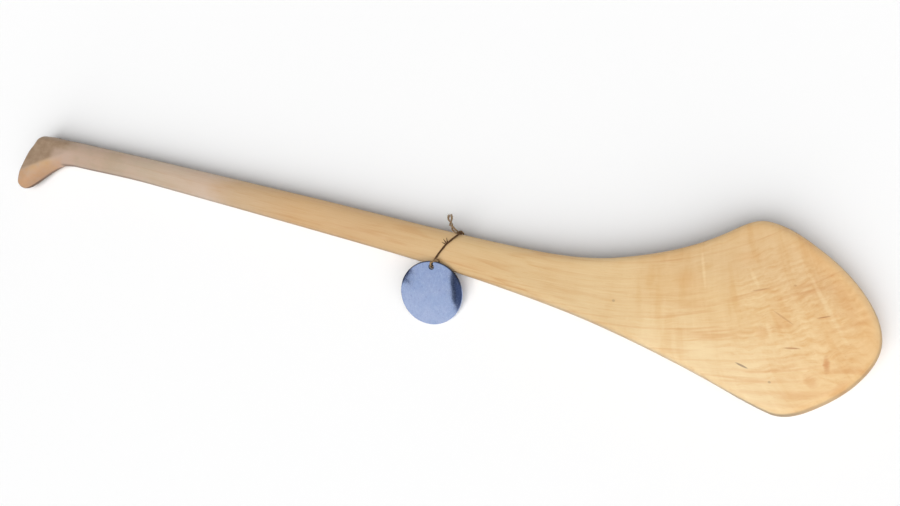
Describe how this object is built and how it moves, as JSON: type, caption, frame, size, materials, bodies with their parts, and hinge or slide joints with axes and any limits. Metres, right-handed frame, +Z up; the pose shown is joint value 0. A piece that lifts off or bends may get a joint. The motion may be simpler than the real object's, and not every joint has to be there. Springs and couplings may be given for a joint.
{
  "type": "hurley",
  "caption": "One-piece ash hurley with a knob, an oval handle and a broad flat bas, and a round swing tag tied to its handle with twine.",
  "frame": {"origin": "on the surface that the stick lies on, under the middle of the box round the stick and the tag", "axes": "+X along the handle from the knob to the bas, +Z up out of the upper face, +Y across towards the toe's corner"},
  "size_m": [0.904, 0.142, 0.0281],
  "materials": {
    "ash_wood": "sanded and lightly oiled",
    "tag_face": "blue mirror coat",
    "twine": "dry twisted fibre"
  },
  "bodies": {
    "stick": {"ash_stick": "ash_wood"},
    "twine": {"twine_loop": "twine", "twine_knot": "twine", "twine_tail_long": "twine", "twine_tail_short": "twine"},
    "tag": {"swing_tag": "tag_face"}
  },
  "joints": [
    {"name": "twine_slide", "type": "slide", "parent": "stick", "child": "twine", "axis": [-1, 0, 0], "range_m": [0, 0.45]},
    {"name": "tag_swing", "type": "hinge", "parent": "twine", "child": "tag", "pos_m": [0.10011, -0.02217, 0.02462], "axis": [-0.9657, -0.1939, 0.1725], "range_deg": [-18, 85]}
  ]
}
